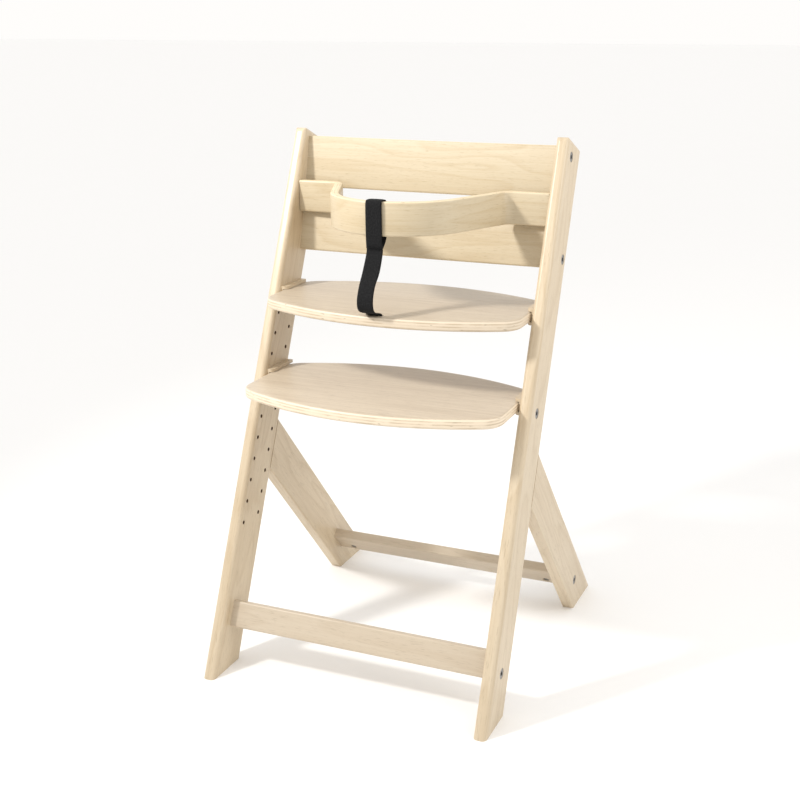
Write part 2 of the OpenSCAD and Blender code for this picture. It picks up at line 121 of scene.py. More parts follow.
# Colour of the soft light from all round
WARM_WHITE = (1.0, 0.985, 0.965, 1)
# Lights: name, offset from the aim point, size, colour and spread in degrees
KEY_LIGHT = ("key", (-1.0, -1.05, 0.95), 0.22, (1.0, 0.985, 0.96), 80)
SIDE_LIGHT = ("side", (1.25, -0.12, 0.35), 0.5, (1.0, 0.99, 0.97), 110)
# Camera: place in metres, direction and roll in degrees, shift as a share of the frame
CAMERA_AT = (0.7444, -1.6877, 0.9754)
CAMERA_AZIMUTH, CAMERA_ELEVATION, CAMERA_ROLL = 22.287, 14.095, -0.204
CAMERA_SHIFT = (-0.0486, -0.1)
# Width of the camera's sensor in millimetres
SENSOR_WIDTH = 36.0


def colour(name, description, default):
    return FloatVectorProperty(
        name=name, description=description, default=default,
        subtype="COLOR", size=3, min=0.0, max=1.0,
    )


def length(name, description, default, low=0.0, high=1.0):
    return FloatProperty(
        name=name, description=description, default=default,
        min=low, max=high, subtype="DISTANCE", unit="LENGTH",
    )


def angle(name, description, degrees):
    return FloatProperty(
        name=name, description=description, default=math.radians(degrees),
        subtype="ANGLE", unit="ROTATION",
    )


def power(name, description, watts):
    return FloatProperty(
        name=name, description=description, default=watts, min=0.0, subtype="POWER", unit="POWER",
    )


class HIGHCHAIR_PG_wood(bpy.types.PropertyGroup):
    solid_light: colour("Solid light", "Pale tone of the solid beech", (0.615, 0.510, 0.365))
    solid_dark: colour("Solid dark", "Late-wood tone of the solid beech", (0.450, 0.335, 0.200))
    cross_light: colour("Crossbar light", "Pale tone of the crossbars", (0.560, 0.475, 0.365))
    cross_dark: colour("Crossbar dark", "Grain tone of the crossbars", (0.440, 0.345, 0.235))
    plate_light: colour("Plate light", "Pale tone of the plate veneer", (0.560, 0.476, 0.366))
    plate_dark: colour("Plate dark", "Grain tone of the plate veneer", (0.370, 0.282, 0.198))
    bent_light: colour("Bent light", "Pale tone of the slats and safety bar", (0.550, 0.464, 0.322))
    bent_dark: colour("Bent dark", "Figure tone of the slats and safety bar", (0.400, 0.290, 0.145))
    ply_dark: colour("Cross ply", "Tone of the crosswise layers on a cut edge", (0.430, 0.310, 0.175))
    # Painted shade: a near-black brown for the walls of the bored holes, where shade falls
    bore_shade: colour("Bores", "Bare wood in the bored holes", (0.085, 0.042, 0.020))
    post_lean: angle("Post lean", "Backward lean of the posts, which their grain follows", 23.3)
    leg_rake: angle("Leg rake", "Rake of the rear legs, which their grain follows", 41)
    post_width: length("Post width", "Front-to-back width of a post across its grain", 0.0675)
    plies: IntProperty(
        name="Plies", description="Number of layers seen on a cut edge", default=7, min=3, max=15,
    )
    lacquer: FloatProperty(
        name="Lacquer", description="Strength of the clear satin coat", default=0.22,
        min=0.0, max=1.0, subtype="FACTOR",
    )


class HIGHCHAIR_PG_plate(bpy.types.PropertyGroup):
    thick: length("Thickness", "Thickness of a plate, which sets the height of its layers", 0.015)
    rise_front: length("Front rise", "Set-back of the front edge from middle to side", 0.050)
    rise_back: length("Back rise", "Set-back of the back edge from middle to side", 0.048)
    corner: length("Corner", "Corner radius of the plates", 0.034)
    edge: length("Edge", "Rounding along the plate edges", 0.0034, 0.0005, 0.006)
    slot_width: length("Slot width", "Side-to-side size of the strap slot", 0.029)
    slot_depth: length("Slot depth", "Front-to-back size of the strap slot", 0.0065)
    slot_setback: length("Slot set-back", "Slot centre behind the front edge", 0.01325)


class HIGHCHAIR_PG_slat(bpy.types.PropertyGroup):
    height: length("Height", "Height of a back slat", 0.080)
    thick: length("Thickness", "Thickness of a back slat", 0.013)
    bow: length("Bow", "Backward bow at the middle of a slat", 0.010)
    upper_tilt: angle("Upper tilt", "Backward tilt of the upper slat", 11)
    lower_tilt: angle("Lower tilt", "Backward tilt of the lower slat", 14)
    edge: length("Edge", "Rounding along the slat edges", 0.0026, 0.0005, 0.006)


class HIGHCHAIR_PG_bar(bpy.types.PropertyGroup):
    thick: length("Thickness", "Thickness of the bent strip", 0.013)
    radius: length("Bow radius", "Outer radius of the front bow", 0.112)
    bend: length("Bend radius", "Front radius between arm and tab", 0.016)
    slant: angle("Slant", "Outward slant of the arms", 23)
    edge: length("Edge", "Rounding along the strip edges", 0.0026, 0.0005, 0.006)


class HIGHCHAIR_PG_strap(bpy.types.PropertyGroup):
    width: length("Width", "Width of the webbing", 0.025)
    thick: length("Thickness", "Thickness of the webbing", 0.0017)
    tint: colour("Webbing", "Colour of the webbing", (0.0075, 0.0075, 0.008))


class HIGHCHAIR_PG_metal(bpy.types.PropertyGroup):
    zinc: colour("Zinc", "Colour of the plated fittings", (0.30, 0.29, 0.275))
    black: colour("Black", "Colour of the tie rod", (0.018, 0.018, 0.02))


class HIGHCHAIR_PG_stage(bpy.types.PropertyGroup):
    floor: colour("Floor", "Colour of the studio floor", (0.97, 0.97, 0.97))
    fill: FloatProperty(
        name="Fill", description="Strength of the soft light from all round", default=1.0, min=0.0,
    )
    key: power("Key", "Power of the main light", 5.7)
    side: power("Side", "Power of the side light", 1.7)
    lens: FloatProperty(
        name="Lens", description="Focal length of the camera in millimetres", default=56.5, min=10.0,
    )


# Helpers


def finish_piece(obj, material, body, replaces):
    """Gives a piece its material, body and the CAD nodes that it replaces."""
    obj.data.materials.clear()
    obj.data.materials.append(material)
    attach(obj, body)
    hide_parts(*replaces)


def mesh_object(name, verts, faces, smooth=True):
    """Links a new object with these points and faces to the scene."""
    mesh = bpy.data.meshes.new(name)
    mesh.from_pydata([tuple(v) for v in verts], [], faces)
    mesh.validate()
    if smooth:
        mesh.polygons.foreach_set("use_smooth", [True] * len(mesh.polygons))
    obj = bpy.data.objects.new(name, mesh)
    bpy.context.scene.collection.objects.link(obj)
    return obj


def set_grain(obj, grain, edge):
    """Stores each point's place along, across and through the board, and how far it is on a cut edge."""
    attributes = obj.data.attributes
    place = attributes.new("grain", "FLOAT_VECTOR", "POINT")
    place.data.foreach_set("vector", [c for v in grain for c in v])
    share = attributes.new("cut_edge", "FLOAT", "POINT")
    share.data.foreach_set("value", edge)


def face_outward(obj):
    """Turns every face of a closed mesh outward."""
    bm = bmesh.new()
    bm.from_mesh(obj.data)
    bmesh.ops.recalc_face_normals(bm, faces=bm.faces)
    bm.to_mesh(obj.data)
    bm.free()


def round_section(thick, height, r, steps=4):
    """Closed section (through, up, edge share) of a strip with rounded long edges."""
    pts = []
    corners = [
        (r, r, 180, 270), (thick - r, r, 270, 360),
        (thick - r, height - r, 0, 90), (r, height - r, 90, 180),
    ]
    for cx, cy, a0, a1 in corners:
        for k in range(steps + 1):
            a = math.radians(a0 + (a1 - a0) * k / steps)
            pts.append((cx + r * math.cos(a), cy + r * math.sin(a), abs(math.sin(a))))
    return pts


def sweep_strip(name, path, thick, height, r, place):
    """Strip that follows a level path, with its front face on the path and its thickness to the left."""
    section = round_section(thick, height, r)
    n = len(section)
    verts, grain, edge, faces = [], [], [], []
    run = 0.0
    for i, p in enumerate(path):
        a, b = path[max(i - 1, 0)], path[min(i + 1, len(path) - 1)]
        t = (b - a).normalized() if 0 < i < len(path) - 1 else Vector((1, 0))
        normal = Vector((-t.y, t.x))
        if i:
            run += (p - path[i - 1]).length
        for q, h, e in section:
            verts.append(place @ Vector((p.x + normal.x * q, p.y + normal.y * q, h)))
            grain.append((run, h, q))
            edge.append(e)
    for i in range(len(path) - 1):
        for k in range(n):
            j = (k + 1) % n
            faces.append((i * n + k, (i + 1) * n + k, (i + 1) * n + j, i * n + j))
    for i, flip in ((0, False), (len(path) - 1, True)):
        base = len(verts)
        for k in range(n):
            verts.append(verts[i * n + k].copy())
            grain.append(grain[i * n + k])
            edge.append(1.0)
        ring = list(range(base, base + n))
        faces.append(tuple(reversed(ring)) if flip else tuple(ring))
    obj = mesh_object(name, verts, faces)
    set_grain(obj, grain, edge)
    face_outward(obj)
    return obj


def arc(cx, cy, r, a0, a1, n):
    """n + 1 points on an arc round (cx, cy), from angle a0 to a1."""
    angles = [a0 + (a1 - a0) * k / n for k in range(n + 1)]
    return [Vector((cx + r * math.cos(a), cy + r * math.sin(a))) for a in angles]


# Materials


class Nodes:
    """Small helper that adds and links shader nodes."""

    def __init__(self, name):
        self.material = bpy.data.materials.new(name)
        self.material.use_nodes = True
        self.tree = self.material.node_tree
        self.tree.nodes.clear()
        self.out = self.add("ShaderNodeOutputMaterial")
        self.shader = self.add("ShaderNodeBsdfPrincipled")
        self.tree.links.new(self.shader.outputs[0], self.out.inputs[0])

    def add(self, kind, **values):
        node = self.tree.nodes.new(kind)
        for key, value in values.items():
            setattr(node, key, value)
        return node

    def link(self, a, b):
        self.tree.links.new(a, b)

    def put(self, socket, value):
        """Links another node's socket, or sets a plain value."""
        if hasattr(value, "is_output"):
            self.link(value, socket)
        else:
            socket.default_value = value

    def split(self, vector):
        """The vector's X, Y and Z as three sockets."""
        node = self.add("ShaderNodeSeparateXYZ")
        self.link(vector, node.inputs[0])
        return tuple(node.outputs)

    def scale(self, vector, s, turn=(0, 0, 0), shift=(0, 0, 0)):
        node = self.add("ShaderNodeMapping")
        self.link(vector, node.inputs["Vector"])
        node.inputs["Scale"].default_value = s
        node.inputs["Rotation"].default_value = turn
        node.inputs["Location"].default_value = shift
        return node.outputs[0]

    def noise(self, vector, detail=2.0, rough=0.5, distortion=0.0):
        node = self.add("ShaderNodeTexNoise")
        self.link(vector, node.inputs["Vector"])
        node.inputs["Scale"].default_value = 1.0
        node.inputs["Detail"].default_value = detail
        node.inputs["Roughness"].default_value = rough
        node.inputs["Distortion"].default_value = distortion
        return node.outputs[0]

    def math(self, op, a, b=0.0):
        node = self.add("ShaderNodeMath", operation=op)
        self.put(node.inputs[0], a)
        self.put(node.inputs[1], b)
        return node.outputs[0]

    def ramp(self, value, stops):
        """Grey curve through (position, level) stops."""
        node = self.add("ShaderNodeValToRGB")
        self.put(node.inputs[0], value)
        ramp = node.color_ramp
        while len(ramp.elements) < len(stops):
            ramp.elements.new(0.5)
        for e, (at, v) in zip(ramp.elements, stops):
            e.position = at
            e.color = (v, v, v, 1)
        return node.outputs[0]

    def mix(self, f, a, b):
        """Colour a where f is 0 and b where it is 1; either may be a socket."""
        node = self.add("ShaderNodeMix", data_type="RGBA")
        self.put(node.inputs[0], f)
        self.put(node.inputs[6], a if hasattr(a, "is_output") else (*a, 1))
        self.put(node.inputs[7], b if hasattr(b, "is_output") else (*b, 1))
        return node.outputs[2]

    def bump(self, height, strength, distance):
        node = self.add("ShaderNodeBump")
        node.inputs["Strength"].default_value = strength
        node.inputs["Distance"].default_value = distance
        self.link(height, node.inputs["Height"])
        self.link(node.outputs[0], self.shader.inputs["Normal"])


def bore_walls(n, source, bores):
    """Mask of the painted shade: 1 on the walls of a post's bored holes, clear of its side faces, long edges
    and ends.

    depth is measured across the leaning post from its front face, and along up its length from the foot.
    """
    inner, outer, front, top, lean, width = bores
    cos, sin = math.cos(lean), math.sin(lean)
    x, y, z = n.split(source)
    side = n.math("ABSOLUTE", x)
    back = n.math("SUBTRACT", y, front)
    depth = n.math("SUBTRACT", n.math("MULTIPLY", back, cos), n.math("MULTIPLY", z, sin))
    along = n.math("ADD", n.math("MULTIPLY", back, sin), n.math("MULTIPLY", z, cos))
    inside = 1.0
    for value, low, high in (
        (side, inner + FACE_SKIN, outer - FACE_SKIN),
        (depth, EDGE_MARGIN, width - EDGE_MARGIN),
        (z, FOOT_MARGIN, top),
        (along, 0.0, top / cos - EDGE_MARGIN),
    ):
        inside = n.math("MULTIPLY", inside, n.math("GREATER_THAN", value, low))
        inside = n.math("MULTIPLY", inside, n.math("LESS_THAN", value, high))
    return inside


def cut_edge_tone(n, source, tone, light, cut):
    """The tone with the layers of plywood on its cut edges, and how far each point is on such an edge."""
    ply_dark = bpy.context.scene.highchair_wood.ply_dark
    edge = n.add("ShaderNodeAttribute", attribute_name="cut_edge").outputs["Fac"]
    edge = n.ramp(edge, [(0.0, 0.0), (0.55, 0.0), (0.75, 1.0), (1.0, 1.0)])
    through = n.split(source)[2]
    wander = n.noise(n.scale(source, (5, 5, 40)), 2.0)
    layer = n.math("ADD", n.math("MULTIPLY", through, cut), n.math("MULTIPLY", wander, 0.28))
    stripe = n.math("FRACT", n.math("MULTIPLY", layer, 0.5))
    broken = n.noise(n.scale(source, (38, 38, 150)), 2.0)
    broken = n.ramp(broken, [(0.0, 0.15), (0.42, 0.25), (0.62, 1.0), (1.0, 1.0)])
    gap = n.noise(n.scale(source, (95, 95, 420)), 1.0)
    gap = n.ramp(gap, [(0.0, 0.0), (0.7, 0.0), (0.76, 1.0), (1.0, 1.0)])
    plies = n.ramp(stripe, [(0.0, 0.0), (0.46, 0.06), (0.5, 1.0), (0.9, 0.75), (0.97, 0.0), (1.0, 0.0)])
    end = n.noise(n.scale(source, (420, 420, 900)), 2.0)
    pale = n.mix(n.math("MULTIPLY", end, 0.35), [min(1.0, c * 1.38) for c in light], light)
    deep = n.mix(end, ply_dark[:], [c * 0.74 for c in ply_dark])
    shown = n.math("MULTIPLY", n.math("MULTIPLY", plies, broken), 0.6)
    tone = n.mix(edge, tone, n.mix(shown, pale, deep))
    void = n.math("MULTIPLY", n.math("MULTIPLY", gap, edge), 0.6)
    return n.mix(void, tone, [c * 0.4 for c in ply_dark]), edge


def wood(
    name, light, dark, turn=(0, 0, 0), shift=(0, 0, 0), figure=0.5, rings=8.0,
    stored=False, cut=None, bores=None, streaks=0.45,
):
    """Lacquered wood. Grain runs along the first axis after turn, or along the stored board axes.

    figure is the strength of the arched growth lines, rings how many there are, and streaks the strength
    of the straight streaks. cut is the number of plywood layers in a metre of thickness. bores are the
    sizes of a post whose bored holes get painted shade, a near-black colour on their walls.
    """
    props = bpy.context.scene.highchair_wood
    n = Nodes(name)
    if stored:
        source = n.add("ShaderNodeAttribute", attribute_name="grain").outputs["Vector"]
    else:
        source = n.add("ShaderNodeTexCoord").outputs["Object"]
    v = n.scale(source, (1, 1, 1), turn, shift)
    broad = n.noise(n.scale(v, (2.1, 9, 9)), 1.0)
    bend = n.noise(n.scale(v, (2.6, 17, 17)), 1.6, 0.45, 0.25)
    line = n.math("FRACT", n.math("MULTIPLY", bend, rings))
    ring = n.ramp(line, [(0.0, 0.0), (0.55, 0.22), (0.88, 1.0), (1.0, 0.0)])
    fine = n.noise(n.scale(v, (11, 520, 520)), 3.0, 0.6)
    pores = n.noise(n.scale(v, (70, 1100, 1100)), 1.0)
    fleck = n.ramp(pores, [(0.0, 0.0), (0.62, 0.0), (0.72, 1.0), (1.0, 1.0)])
    streak = n.noise(n.scale(v, (4.5, 190, 190)), 2.0, 0.55)
    amount = n.math("MULTIPLY", ring, 0.42 * figure)
    for pattern, share in ((fine, 0.55), (broad, 0.62), (streak, streaks)):
        amount = n.math("ADD", amount, n.math("MULTIPLY", pattern, share))
    amount = n.math("SUBTRACT", amount, 0.46 + 0.5 * streaks)
    tone = n.mix(n.ramp(amount, [(0.0, 0.0), (1.0, 1.0)]), light, dark)
    tone = n.mix(n.math("MULTIPLY", fleck, 0.45), tone, [c * 0.72 for c in dark])
    height = n.math("ADD", n.math("MULTIPLY", fine, 0.6), n.math("MULTIPLY", fleck, -0.8))
    rough = n.math("ADD", 0.37, n.math("MULTIPLY", fine, 0.16))
    if cut is not None:
        tone, edge = cut_edge_tone(n, source, tone, light, cut)
        rough = n.math("ADD", rough, n.math("MULTIPLY", edge, 0.1))
    if bores is not None:
        # Painted shade: the walls of the bored holes take the dark bore colour
        tone = n.mix(n.math("MULTIPLY", bore_walls(n, source, bores), 0.88), tone, props.bore_shade[:])
    n.link(tone, n.shader.inputs["Base Color"])
    n.link(rough, n.shader.inputs["Roughness"])
    n.shader.inputs["Coat Weight"].default_value = props.lacquer
    n.shader.inputs["Coat Roughness"].default_value = 0.28
    n.bump(height, 0.22, 0.00025)
    return n.material


def webbing(name, tint):
    """Ribbed webbing: tight crosswise ribs, lengthwise cords, lint and paler specks, and painted shade in
    the rib hollows with painted highlight on the crests.
    """
    n = Nodes(name)
    source = n.add("ShaderNodeAttribute", attribute_name="grain").outputs["Vector"]
    along, over = n.split(source)[:2]
    rib = n.math("SINE", n.math("MULTIPLY", along, 2 * math.pi / RIB_PITCH))
    cord = n.math("SINE", n.math("MULTIPLY", over, 2 * math.pi / CORD_PITCH))
    weave = n.math("MULTIPLY", rib, n.math("ADD", 0.65, n.math("MULTIPLY", cord, 0.35)))
    lint = n.noise(n.scale(source, (900, 2400, 900)), 3.0, 0.7)
    patch = n.noise(n.scale(source, (60, 90, 60)), 2.0)
    speck = n.noise(n.scale(source, (420, 640, 420)), 2.0, 0.6)
    speck = n.ramp(speck, [(0.0, 0.0), (0.42, 0.0), (0.7, 1.0), (1.0, 1.0)])
    # Painted shade and highlight: the tint goes darker in the weave's hollows and lighter on its crests
    weave_shading = n.math("ADD", 0.5, n.math("MULTIPLY", weave, 0.5))
    mid = n.mix(weave_shading, [c * 0.55 for c in tint], [c * 1.25 for c in tint])
    tone = n.mix(n.math("MULTIPLY", lint, 0.3), mid, [0.018, 0.018, 0.019])
    tone = n.mix(n.math("MULTIPLY", speck, 0.5), tone, [0.034, 0.034, 0.035])
    tone = n.mix(n.math("MULTIPLY", patch, 0.25), tone, [c * 0.6 for c in tint])
    n.link(tone, n.shader.inputs["Base Color"])
    n.link(n.math("ADD", 0.72, n.math("MULTIPLY", lint, 0.2)), n.shader.inputs["Roughness"])
    n.shader.inputs["Specular IOR Level"].default_value = 0.1
    n.shader.inputs["Sheen Weight"].default_value = 0.02
    n.shader.inputs["Sheen Roughness"].default_value = 0.5
    n.bump(n.math("ADD", weave, n.math("MULTIPLY", lint, 0.5)), 0.5, 0.0004)
    return n.material


def metal(name, tint, rough, metallic):
    """Plated or coated metal with fine brushing and small smudges."""
    n = Nodes(name)
    source = n.add("ShaderNodeTexCoord").outputs["Object"]
    brush = n.noise(n.scale(source, (300, 2600, 2600)), 2.0)
    smudge = n.noise(n.scale(source, (140, 140, 140)), 3.0)
    tone = n.mix(n.math("MULTIPLY", smudge, 0.5), tint, [c * 0.7 for c in tint])
    n.link(tone, n.shader.inputs["Base Color"])
    value = n.math("ADD", rough, n.math("MULTIPLY", smudge, 0.14))
    n.link(n.math("ADD", value, n.math("MULTIPLY", brush, 0.06)), n.shader.inputs["Roughness"])
    n.shader.inputs["Metallic"].default_value = metallic
    n.bump(n.math("ADD", brush, smudge), 0.12, 0.0002)
    return n.material


def paint(nodes, material):
    """Gives CAD nodes a material; their meshes stay as they are."""
    for name in nodes:
        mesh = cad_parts[name].data
        if not mesh.materials:
            mesh.materials.append(material)
        for k in range(len(mesh.materials)):
            mesh.materials[k] = material


# Operators


class HIGHCHAIR_OT_side_frames(bpy.types.Operator):
    """Give posts, rear legs, crossbars and rails their lacquered beech"""

    bl_idname = "highchair.side_frames"
    bl_label = "Side frames and rails"

    def execute(self, context):
        w = context.scene.highchair_wood
        light, dark = w.solid_light[:], w.solid_dark[:]
        lean, rake, up = w.post_lean, w.leg_rake, math.radians(90)
        lo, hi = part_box("right_post")
        bores = (lo.x, hi.x, lo.y, hi.z, lean, w.post_width)
        for k, name in enumerate(("left_post", "right_post")):
            shift = (0.31 + 0.7 * k, 0.2 * k, 0.4 * k)
            paint([name], wood(name + "_wood", light, dark, (lean, up, 0), shift, 0.75, bores=bores))
        for k, name in enumerate(("left_rear_leg", "right_rear_leg")):
            shift = (0.9 + 0.4 * k, 0.3 * k, 0.1)
            paint([name], wood(name + "_wood", light, dark, (-rake, up, 0), shift, 0.8))
        pale, deep = w.cross_light[:], w.cross_dark[:]
        for k, name in enumerate(("front_crossbar", "rear_crossbar")):
            shift = (0.2 + k, 0.13 * k, 0.5 * k)
            paint([name], wood(name + "_wood", pale, deep, (0, 0, 0), shift, rings=7.0))
        rails = wood("rail_wood", light, dark, (0, 0, up), (0.6, 0.1, 0.3), 0.4, 7.0)
        paint(["left_seat_rail", "right_seat_rail", "left_foot_rail", "right_foot_rail"], rails)
        pins = wood("dowel_wood", light, dark, (0, 0, 0), (0.1, 0.7, 0.3), 0.3, 7.0)
        paint(["slat_dowels", "crossbar_dowels", "leg_dowels"], pins)
        return {"FINISHED"}


class HIGHCHAIR_OT_plates(bpy.types.Operator):
    """Build the seat plate with its strap slot, and the foot plate, in edge-rounded plywood"""

    bl_idname = "highchair.plates"
    bl_label = "Seat and foot plates"

    def outline(self, x, y0, y1, p):
        """Barrel outline as points and outward normals, anticlockwise from the front middle."""
        front = (x * x + p.rise_front ** 2) / (2 * p.rise_front)
        back = (x * x + p.rise_back ** 2) / (2 * p.rise_back)
        c = p.corner
        half = []

        def run(cx, cy, r, a0, a1, steps):
            for k in range(steps + 1):
                a = a0 + (a1 - a0) * k / steps
                half.append((cx + r * math.cos(a), cy + r * math.sin(a), math.cos(a), math.sin(a)))

        side = x - c
        front_reach = math.sqrt((front - c) ** 2 - side * side)
        back_reach = math.sqrt((back - c) ** 2 - side * side)
        front_end = math.atan2(-front_reach, side)
        back_end = math.atan2(back_reach, side)
        edge, corner = PLATE_EDGE_STEPS, PLATE_CORNER_STEPS
        run(0, y0 + front, front, -math.pi / 2, front_end, edge)
        run(side, y0 + front - front_reach, c, front_end, 0, corner)
        run(side, y1 - back + back_reach, c, 0, back_end, corner)
        run(0, y1 - back, back, back_end, math.pi / 2, edge)
        clean = [half[0]]
        for q in half[1:]:
            if math.dist(q[:2], clean[-1][:2]) > SAME_POINT:
                clean.append(q)
        return clean + [(-q[0], q[1], -q[2], q[3]) for q in reversed(clean[1:-1])]

    def plate(self, node, p):
        """One plate in its CAD node's box, with rounded edges."""
        lo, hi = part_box(node)
        pts = self.outline(hi.x, lo.y, hi.y, p)
        r, t, flat = p.edge, hi.z - lo.z, 0.004
        rings = [(r + flat, 0.0, 0.0), (r, 0.0, 0.0)]
        rings += [(r - r * math.sin(a), r - r * math.cos(a), math.sin(a))
                  for a in (math.radians(d) for d in (22, 45, 68, 90))]
        rings += [(i, t - z, e) for i, z, e in reversed(rings)]
        verts, grain, edge = [], [], []
        for inset, z, e in rings:
            for x, y, nx, ny in pts:
                verts.append((x - nx * inset, y - ny * inset, lo.z + z))
                grain.append((x - nx * inset, y - ny * inset, z))
                edge.append(e)
        n = len(pts)
        faces = [tuple(reversed(range(n))), tuple(range((len(rings) - 1) * n, len(rings) * n))]
        for i in range(len(rings) - 1):
            for k in range(n):
                j = (k + 1) % n
                faces.append((i * n + k, i * n + j, (i + 1) * n + j, (i + 1) * n + k))
        obj = mesh_object(node + "_visual", verts, faces)
        set_grain(obj, grain, edge)
        return obj

    def cut_slot(self, obj, p):
        """Cuts the round-ended strap slot through the seat plate."""
        lo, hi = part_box("seat_plate")
        y = lo.y + p.slot_setback
        w, d = p.slot_width / 2, p.slot_depth / 2
        pts = [q + Vector((s * (w - d), 0)) for s, a in ((1, -90), (-1, 90))
               for q in arc(0, 0, d, math.radians(a), math.radians(a + 180), SLOT_END_STEPS)]
        n, past = len(pts), 0.01
        verts = [(q.x, y + q.y, z) for z in (lo.z - past, hi.z + past) for q in pts]
        faces = [tuple(reversed(range(n))), tuple(range(n, 2 * n))]
        faces += [(k, (k + 1) % n, n + (k + 1) % n, n + k) for k in range(n)]
        cutter = mesh_object("slot_cutter", verts, faces, False)
        cut = obj.modifiers.new("slot", "BOOLEAN")
        cut.operation, cut.solver, cut.object = "DIFFERENCE", "EXACT", cutter
        bpy.context.view_layer.objects.active = obj
        bpy.ops.object.modifier_apply(modifier=cut.name)
        bpy.data.objects.remove(cutter)
        if len(obj.data.polygons) < FEWEST:
            raise RuntimeError("the strap slot could not be cut into the seat plate")

    def execute(self, context):
        p, w = context.scene.highchair_plate, context.scene.highchair_wood
        for k, (node, shade) in enumerate(PLATE_SHADES):
            obj = self.plate(node, p)
            if node == "seat_plate":
                self.cut_slot(obj, p)
            obj.data.set_sharp_from_angle(angle=math.radians(50))
            cut = w.plies / p.thick
            light, dark = ([c * shade for c in tone] for tone in (w.plate_light, w.plate_dark))
            mat = wood(
                node + "_ply", light, dark, shift=(0.37 + k, 0.21 * k, 0.1), figure=0.25, rings=10.0,
                stored=True, cut=cut, streaks=0.8,
            )
            body = "foot_plate" if node == "foot_plate" else "frame"
            finish_piece(obj, mat, body, [node])
        return {"FINISHED"}


class HIGHCHAIR_OT_slats(bpy.types.Operator):
    """Build the two bowed back slats"""

    bl_idname = "highchair.slats"
    bl_label = "Back slats"

    def execute(self, context):
        p, w = context.scene.highchair_slat, context.scene.highchair_wood
        tilts = (("upper_slat", p.upper_tilt), ("lower_slat", p.lower_tilt))
        for k, (node, tilt) in enumerate(tilts):
            lo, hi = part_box(node)
            x = hi.x
            r = (x * x + p.bow ** 2) / (2 * p.bow)
            a = math.asin(x / r)
            path = arc(0, p.bow - r, r, math.pi / 2 + a, math.pi / 2 - a, SLAT_STEPS)
            foot = hi.z - p.height * math.cos(tilt)
            place = Matrix.Translation((0, lo.y, foot)) @ Matrix.Rotation(-tilt, 4, "X")
            obj = sweep_strip(node + "_visual", path, p.thick, p.height, p.edge, place)
            mat = wood(
                node + "_ply", w.bent_light[:], w.bent_dark[:], figure=0.62,
                shift=(0.15 + 0.83 * k, 0.06 * k, 0.02 * k), stored=True, cut=w.plies / p.thick,
            )
            finish_piece(obj, mat, "frame", [node])
        return {"FINISHED"}


class HIGHCHAIR_OT_safety_bar(bpy.types.Operator):
    """Build the bent safety bar with its arms and end tabs"""

    bl_idname = "highchair.safety_bar"
    bl_label = "Safety bar"

    def execute(self, context):
        p, w = context.scene.highchair_bar, context.scene.highchair_wood
        lo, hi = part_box("safety_bar")
        tab = hi.y - p.thick
        cy = lo.y + p.radius
        ax, ay = p.radius * math.cos(p.slant), cy - p.radius * math.sin(p.slant)
        by = tab - p.bend
        bx = ax + (p.bend + (by - ay) * math.sin(p.slant)) / math.cos(p.slant)
        half = arc(0, cy, p.radius, -math.pi / 2, -p.slant, BOW_STEPS)
        start, bend = half[-1], arc(bx, by, p.bend, math.pi - p.slant, math.pi / 2, BEND_STEPS)
        half += [start.lerp(bend[0], k / ARM_STEPS) for k in range(1, ARM_STEPS)] + bend
        end = Vector((hi.x, tab))
        half += [bend[-1].lerp(end, k / TAB_STEPS) for k in range(1, TAB_STEPS + 1)]
        path = [Vector((-q.x, q.y)) for q in reversed(half[1:])] + half
        place = Matrix.Translation((0, 0, lo.z))
        obj = sweep_strip("safety_bar_visual", path, p.thick, hi.z - lo.z, p.edge, place)
        mat = wood(
            "safety_bar_ply", w.bent_light[:], w.bent_dark[:], shift=(0.55, 0.31, 0.0), figure=0.55,
            stored=True, cut=w.plies / p.thick,
        )
        finish_piece(obj, mat, "safety_bar", ["safety_bar"])
        return {"FINISHED"}


class HIGHCHAIR_OT_metal(bpy.types.Operator):
    """Give bolts, pins, nuts and the tie rod their metal"""

    bl_idname = "highchair.metal"
    bl_label = "Metal fittings"

    def execute(self, context):
        m = context.scene.highchair_metal
        zinc = metal("plated_steel", m.zinc[:], 0.26, 1.0)
        black = metal("black_coat", m.black[:], 0.38, 0.4)
        paint(["slat_bolts", "rod_bolts", "crossbar_bolts", "pivot_pins", "strap_screw",
               "slat_nuts", "crossbar_nuts", "rail_pins"], zinc)
        paint(["tie_rod"], black)
        return {"FINISHED"}


